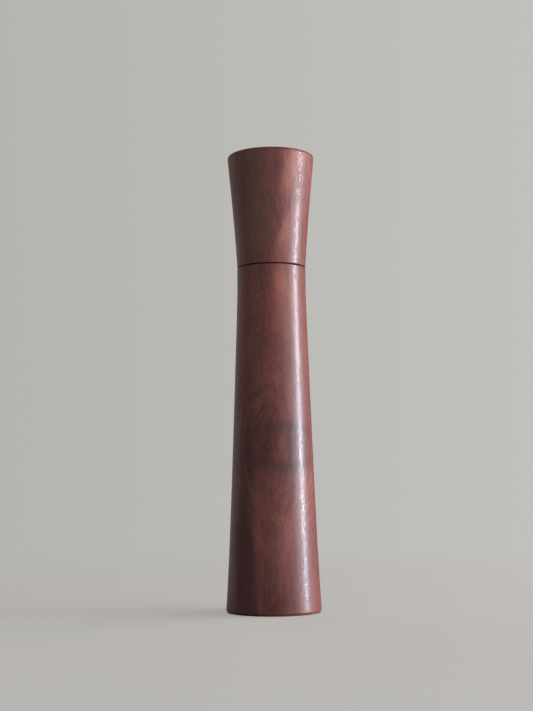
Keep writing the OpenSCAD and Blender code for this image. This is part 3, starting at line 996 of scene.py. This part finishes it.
@dataclass(frozen=True)
class Panel:
    """A rectangular light that faces a point on the mill's axis.

    Azimuth 0 is the viewer's side and 90 the right-hand side. Height and aim are above the
    table; a mirrored one also shows in the polish.
    """

    name: str
    azimuth: float
    distance: float
    height: float
    width: float
    tall: float
    watts: float
    colour: Colour
    mirrored: bool = False
    aim: float = 0.15

    def hang(self) -> bpy.types.Object:
        """Makes the light."""
        lamp = bpy.data.lights.new(self.name, "AREA")
        lamp.shape = "RECTANGLE"
        lamp.size, lamp.size_y = self.width, self.tall
        lamp.energy, lamp.color = self.watts, self.colour
        light = bpy.data.objects.new(self.name, lamp)
        light.visible_glossy = self.mirrored
        turn = math.radians(self.azimuth)
        away = self.distance
        place = Vector((math.sin(turn) * away, -math.cos(turn) * away, self.height))
        light.location = place
        light.rotation_mode = "QUATERNION"
        light.rotation_quaternion = (Vector((0, 0, self.aim)) - place).to_track_quat("-Z", "Y")
        bpy.context.scene.collection.objects.link(light)
        return light


@dataclass(frozen=True)
class Studio:
    """A plain pale floor that fades into a pale background, and soft window light.

    The floor fades between two radii in millimetres and has a hole under the mill, so that the
    lamp below lights the recess. It lies a hair below the foot.
    """

    floor_inner: float = 0.02
    floor_reach: float = 3.0
    floor_gap: float = 0.3 * MM
    floor_rings: int = 24
    floor_sides: int = 96
    backdrop: Colour = (0.510, 0.505, 0.480)
    room: Colour = (0.125, 0.120, 0.122)
    wall: Colour = (0.23, 0.23, 0.22)
    corner: Colour = (0.050, 0.030, 0.028)
    floor_tone: Colour = (0.78, 0.77, 0.74)
    floor_dim: float = 0.35
    floor_glow: float = 0.62
    glow_strength: float = 0.94
    fade: Span = (180.0, 950.0)
    hole: Span = (30.0, 29.0)
    left_shade: float = 0.90
    right_shade: float = 1.06
    panels: tuple[Panel, ...] = (
        Panel("window_low", 87, 1.7, 0.16, 0.30, 0.50, 17.0, (0.77, 0.87, 1.0), True),
        Panel("window_high", 87, 1.7, 0.60, 0.30, 0.38, 10.0, (1.0, 0.95, 0.95), True),
        Panel("window_reveal", 71, 1.7, 0.24, 0.50, 1.00, 4.2, (0.74, 0.88, 1.0), True),
        Panel("lit_room", 52, 1.9, 0.45, 1.2, 1.2, 16.0, (1.0, 0.97, 0.95)),
        Panel("side_glow", 118, 1.8, 0.45, 0.9, 1.2, 24.0, (1.0, 0.79, 0.73)),
        Panel("left_room", 305, 1.9, 0.45, 1.2, 1.2, 2.2, (1.0, 1.0, 1.0)),
        Panel("far_room", 215, 2.1, 0.60, 1.6, 1.4, 6.0, (1.0, 1.0, 1.0)),
        Panel("overhead", 0, 0.10, 1.90, 1.2, 1.2, 4.0, (1.0, 0.98, 0.96)),
        Panel("under_light", 20, 0.35, -0.95, 0.7, 0.7, 9.0, (1.0, 1.0, 1.0), True, 0.0),
    )

    def build(self) -> None:
        """Makes the floor, the background and the lights."""
        self._floor()
        self._background()
        for panel in self.panels:
            panel.hang()

    def _floor(self) -> None:
        """A round floor, seen only from above, that turns see-through towards its rim.

        Formula: point (i, j) is r_i (cos t_j, sin t_j) with the radii in even ratios.
        """
        rings, sides = self.floor_rings, self.floor_sides
        radii = np.geomspace(self.floor_inner, self.floor_reach, rings)
        angle = np.arange(sides) * (2 * math.pi / sides)
        points = np.stack([np.outer(radii, np.cos(angle)), np.outer(radii, np.sin(angle)),
                           np.full((rings, sides), -self.floor_gap)], axis=-1).reshape(-1, 3)
        index = np.arange(rings * sides).reshape(rings, sides)
        near, far = index[:-1], index[1:]
        quads = np.stack([near, far, np.roll(far, -1, axis=1), np.roll(near, -1, axis=1)], axis=-1)
        fan = np.stack([np.full(sides, len(points)), index[0], np.roll(index[0], -1)], axis=-1)
        mesh = bpy.data.meshes.new("floor")
        mesh.from_pydata(np.concatenate([points, [[0, 0, -self.floor_gap]]]), [],
                         [*quads.reshape(-1, 4).tolist(), *fan.tolist()])
        mesh.materials.append(self._floor_material())
        floor = bpy.data.objects.new("floor", mesh)
        bpy.context.scene.collection.objects.link(floor)

    def _floor_material(self) -> bpy.types.Material:
        """Pale and matt to the eye, dimmer as a reflector.

        It is see-through from below, far out, and under the mill.

        Returns:
            The floor's material.
        """
        g = Graph.of_material("pale_floor")
        x, y, _ = g.split(g.millimetres())
        radius = (x.squared() + y.squared()).root()
        far = radius.ease(*self.fade).larger(radius.ease(*self.hole))
        below = Value(g, g.add("ShaderNodeNewGeometry").outputs["Backfacing"])
        seen = Value(g, g.add("ShaderNodeLightPath").outputs["Is Camera Ray"])
        dim = tuple(c * self.floor_dim for c in self.floor_tone)
        matt = g.add("ShaderNodeBsdfDiffuse", sockets={0: g.mix(dim, self.floor_tone, seen)})
        glow = g.add("ShaderNodeEmission", sockets={
            0: (*self.backdrop, 1.0), 1: self.glow_strength})
        pale = g.add("ShaderNodeMixShader", sockets={
            0: seen * self.floor_glow, 1: matt.outputs[0], 2: glow.outputs[0]})
        clear = g.add("ShaderNodeBsdfTransparent")
        mixed = g.add("ShaderNodeMixShader", sockets={
            0: far.larger(below), 1: pale.outputs[0], 2: clear.outputs[0]})
        g.add("ShaderNodeOutputMaterial", sockets={0: mixed.outputs[0]})
        return g.owner

    def _background(self) -> None:
        """The camera sees a pale wall; the mill sees a dim room with that wall behind it."""
        world = bpy.data.worlds.new("room")
        bpy.context.scene.world = world
        g = Graph(world)
        x, y, _ = g.split(g.add("ShaderNodeTexCoord").outputs["Generated"])
        left, right = (tuple(c * by for c in self.backdrop)
                       for by in (self.left_shade, self.right_shade))
        shade = g.mix(left, right, x.ease(-0.30, 0.30))
        around = g.mix(self.room, self.wall, y.ease(0.20, 0.45) * x.ease(0.4, -0.4))
        around = g.mix(around, self.corner, y.ease(0.05, 0.30) * x.ease(0.15, 0.40))
        seen = Value(g, g.add("ShaderNodeLightPath").outputs["Is Camera Ray"])
        light = g.add("ShaderNodeBackground", sockets={0: g.mix(around, shade, seen)})
        g.add("ShaderNodeOutputWorld", sockets={0: light.outputs[0]})


def dress_cad(material: dict[Slot, bpy.types.Material]) -> None:
    """Gives every CAD node that is shown the finish of its slot.

    Args:
        material: the material of each slot.
    """
    slots = {row["node"]: Slot(row["material_slot"]) for row in frame["record"]["subparts"]}
    for name, node in frame["nodes"].items():
        node.data.materials.clear()
        node.data.materials.append(material[slots[name]])
        log.info("%s: CAD node in %s", name, slots[name].value)


def finishes() -> dict[Slot, bpy.types.Material]:
    """Makes the material of every slot."""
    even, broad = (3.0, 3.0, 3.0), (2.0, 2.0, 2.0)
    aluminium = DrawnMetal("drawn_aluminium", (0.78, 0.79, 0.80), (0.60, 0.61, 0.62))
    spring = DrawnMetal("spring_steel", (0.55, 0.55, 0.56), (0.40, 0.40, 0.41), even)
    plated = DrawnMetal("plated_steel", (0.66, 0.66, 0.66), (0.48, 0.49, 0.50), broad, 0.3)
    bronze = DrawnMetal("sintered_bronze", (0.60, 0.40, 0.20), (0.38, 0.24, 0.12), even, 0.4)
    return {
        Slot.WOOD: FiguredWood().paint(),
        Slot.BLACK: MouldedPlastic("black_plastic", (0.022, 0.022, 0.023), 0.38).paint(),
        Slot.GREY: MouldedPlastic("grey_plastic", (0.085, 0.086, 0.09), 0.5).paint(),
        Slot.CERAMIC: SinteredCeramic().paint(),
        Slot.ALUMINIUM: aluminium.paint(),
        Slot.SPRING: spring.paint(),
        Slot.PLATED: plated.paint(),
        Slot.BRONZE: bronze.paint(),
    }


def main() -> None:
    """Builds the camera, the stage, the finishes and every piece."""
    logging.basicConfig(level=logging.INFO, format="%(name)s: %(message)s")
    bpy.context.scene.view_settings.view_transform = "Standard"
    Viewpoint().place()
    Studio().build()
    material = finishes()
    dress_cad(material)
    wood = TurnedWood()
    wood.body(material[Slot.WOOD])
    wood.crown(material[Slot.WOOD])
    BurrSpring().wind(material[Slot.SPRING])


if __name__ == "__main__":
    main()
